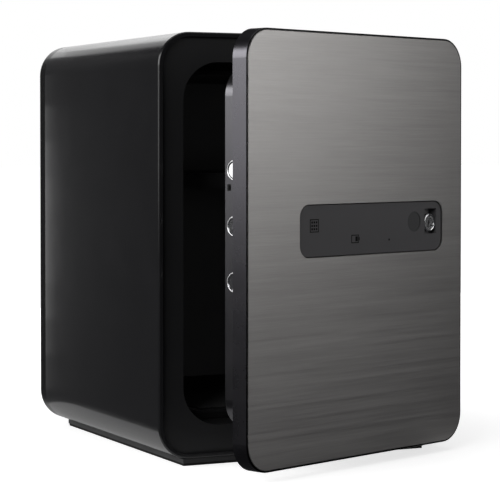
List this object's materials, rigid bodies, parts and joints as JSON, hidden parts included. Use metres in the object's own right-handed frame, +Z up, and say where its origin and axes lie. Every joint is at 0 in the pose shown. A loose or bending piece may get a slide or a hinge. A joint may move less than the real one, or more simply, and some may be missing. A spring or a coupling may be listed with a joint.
{
  "type": "electronic safe",
  "caption": "Upright electronic safe with a thick side-hinged plug door, motor-driven round locking bolts, a recessed touch panel with a key override, an inner shelf and anchor holes.",
  "frame": {"origin": "centre of the base pad's underside", "axes": "+Z up, the front of the body faces -Y, +X to the right seen from the front"},
  "size_m": [0.396, 0.5628, 0.5],
  "materials": {
    "shell_paint": "satin black powder coat",
    "door_edge_paint": "satin black",
    "frame_paint": "fine matt black",
    "liner_paint": "matt dark grey",
    "shelf_paint": "matt dark grey",
    "brushed_plate": "dark brushed, grain across",
    "pan_paint": "matt black",
    "cover_plastic": "fine grained",
    "panel_plastic": "fine matt charcoal",
    "panel_marks": "raised dark print",
    "sensor_gloss": "polished",
    "lens": "clear",
    "bright_chrome": "polished",
    "zinc_steel": "zinc plated",
    "hinge_paint": "satin black",
    "screw_steel": "black zinc",
    "gear_brass": "machined",
    "motor_metal": "plain can",
    "board_green": "solder mask",
    "switch_black": "moulded",
    "button_red": "moulded",
    "cell_wrap": "sleeved",
    "mat_felt": "felt",
    "pad_rubber": "matt",
    "fire_fill": "porous board"
  },
  "bodies": {
    "cabinet": {"outer_shell": "shell_paint", "rear_cover": "shell_paint", "front_frame": "frame_paint", "base_plate": "frame_paint", "inner_liner": "liner_paint", "strike_box": "liner_paint", "shelf": "shelf_paint", "shelf_pegs": "shelf_paint", "hinge_pins": "zinc_steel", "floor_anchor_sleeves": "zinc_steel", "wall_anchor_sleeves": "zinc_steel", "hinge_body_leaves": "hinge_paint", "hinge_body_screws": "screw_steel", "rear_cover_screws": "screw_steel", "floor_mat": "mat_felt", "base_pad": "pad_rubber", "fire_seal": "pad_rubber", "wall_insulation": "fire_fill"},
    "door": {"door_shell": "door_edge_paint", "door_plate": "brushed_plate", "door_pan": "pan_paint", "lock_cover": "cover_plastic", "lock_cover_screws": "screw_steel", "door_insulation": "fire_fill", "control_panel": "panel_plastic", "fingerprint_sensor": "sensor_gloss", "status_light": "lens", "panel_symbols": "panel_marks", "key_cylinder": "bright_chrome", "control_board": "board_green", "bolt_bushes": "bright_chrome", "drive_motor": "motor_metal", "motor_bracket": "zinc_steel", "bolt_guide": "zinc_steel", "switch_housing": "switch_black", "reset_switch": "switch_black", "battery_holder": "switch_black", "batteries": "cell_wrap", "hinge_door_leaves": "hinge_paint", "hinge_door_screws": "screw_steel"},
    "bolts": {"locking_bolts": "bright_chrome", "bolt_carriage": "zinc_steel"},
    "pinion": {"drive_pinion": "gear_brass"},
    "key_barrel": {"key_plug": "bright_chrome", "key_cam": "zinc_steel"},
    "plunger": {"switch_plunger": "switch_black"},
    "reset": {"reset_button": "button_red"},
    "battery_flap": {"battery_cover": "cover_plastic"}
  },
  "joints": [
    {"name": "door_hinge", "type": "hinge", "parent": "cabinet", "child": "door", "pos_m": [0.199, -0.2015, 0.25], "axis": [0, 0, 1], "range_deg": [-21.05, 148.95]},
    {"name": "bolt_slide", "type": "slide", "parent": "door", "child": "bolts", "axis": [-0.9333, -0.3592, 0], "range_m": [0, 0.018]},
    {"name": "pinion_spin", "type": "hinge", "parent": "door", "child": "pinion", "pos_m": [-0.05091, -0.26489, 0.183], "axis": [-0.3592, 0.9333, 0], "range_deg": [-129.5, 0]},
    {"name": "key_turn", "type": "hinge", "parent": "door", "child": "key_barrel", "pos_m": [0.13505, -0.22451, 0.2775], "axis": [-0.3592, 0.9333, 0], "range_deg": [0, 90]},
    {"name": "switch_press", "type": "slide", "parent": "door", "child": "plunger", "axis": [0.9333, 0.3592, 0], "range_m": [0, 0.0012], "stiffness_N_per_m": 300},
    {"name": "reset_press", "type": "slide", "parent": "door", "child": "reset", "axis": [0.3592, -0.9333, 0], "range_m": [0, 0.0012], "stiffness_N_per_m": 500},
    {"name": "battery_flap_hinge", "type": "hinge", "parent": "door", "child": "battery_flap", "pos_m": [0.03326, -0.21353, 0.079], "axis": [-0.9333, -0.3592, 0], "range_deg": [0, 90]}
  ],
  "couplings": [
    {"joint": "pinion_spin", "follows": "bolt_slide", "rad_per_m": -125}
  ]
}
